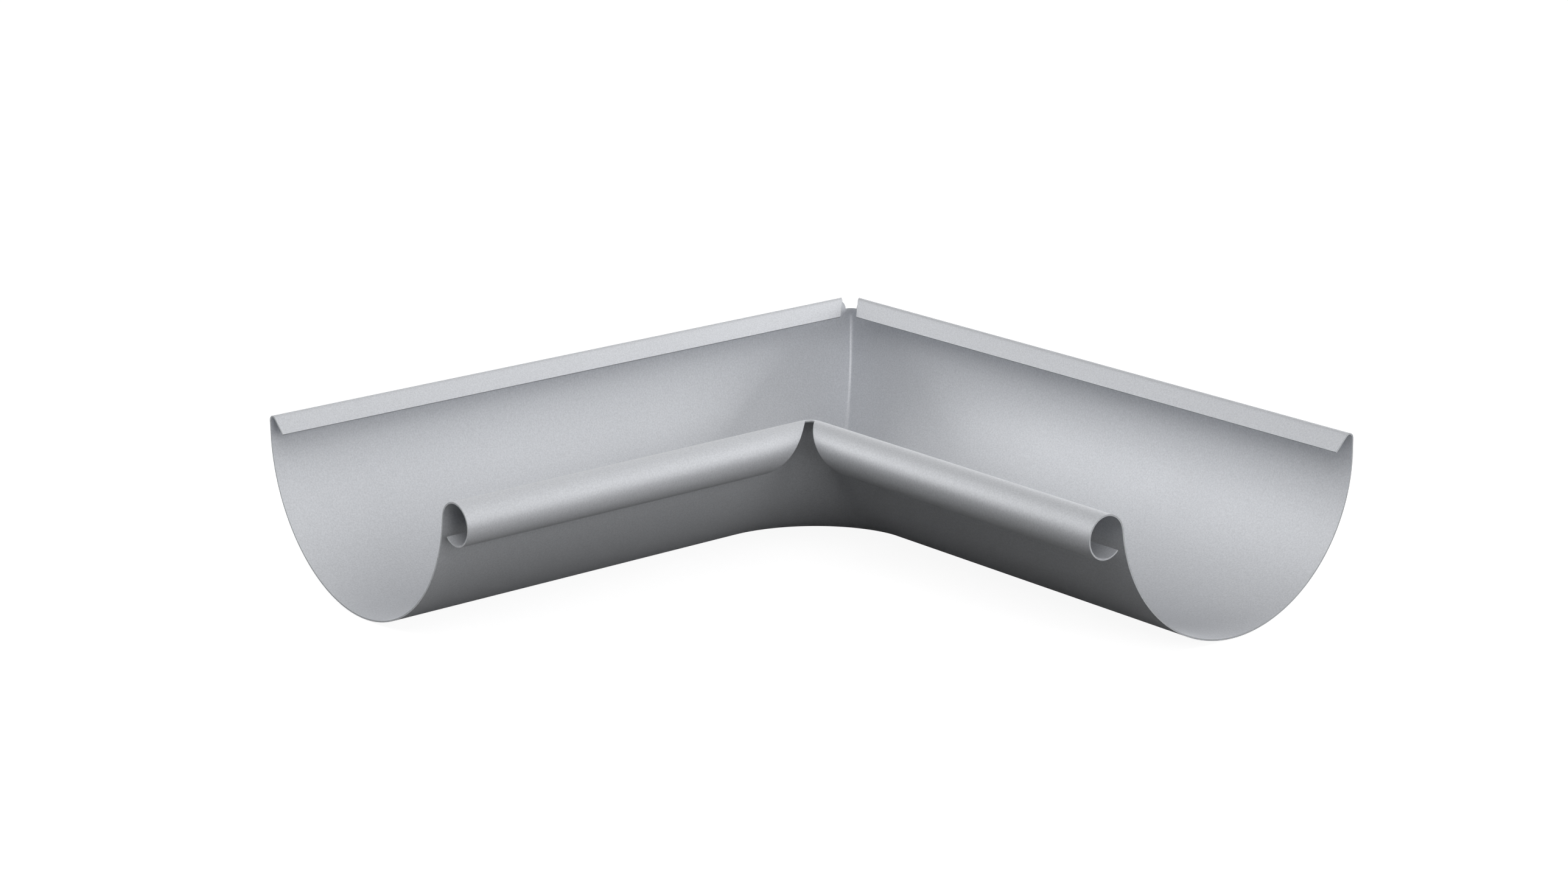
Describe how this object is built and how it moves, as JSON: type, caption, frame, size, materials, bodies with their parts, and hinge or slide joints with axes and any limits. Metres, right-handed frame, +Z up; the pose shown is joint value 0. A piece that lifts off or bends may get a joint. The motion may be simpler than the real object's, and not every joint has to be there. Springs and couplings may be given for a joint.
{
  "type": "internal gutter angle",
  "caption": "Half-round rain gutter inside corner, pressed from one sheet, with a rolled bead on the front edge and a folded water lip on the back edge.",
  "frame": {"origin": "where the trough centre lines of the two legs cross, on the underside of the trough bottom", "axes": "+Z up; +X along one leg to its cut end; -Y along the other leg to its cut end; the higher back edges face +Y and -X"},
  "size_m": [0.3708, 0.3708, 0.0853],
  "materials": {
    "coated_sheet": "fine-grained metallic coating, satin"
  },
  "bodies": {
    "root": {"gutter_angle": "coated_sheet"}
  },
  "joints": []
}
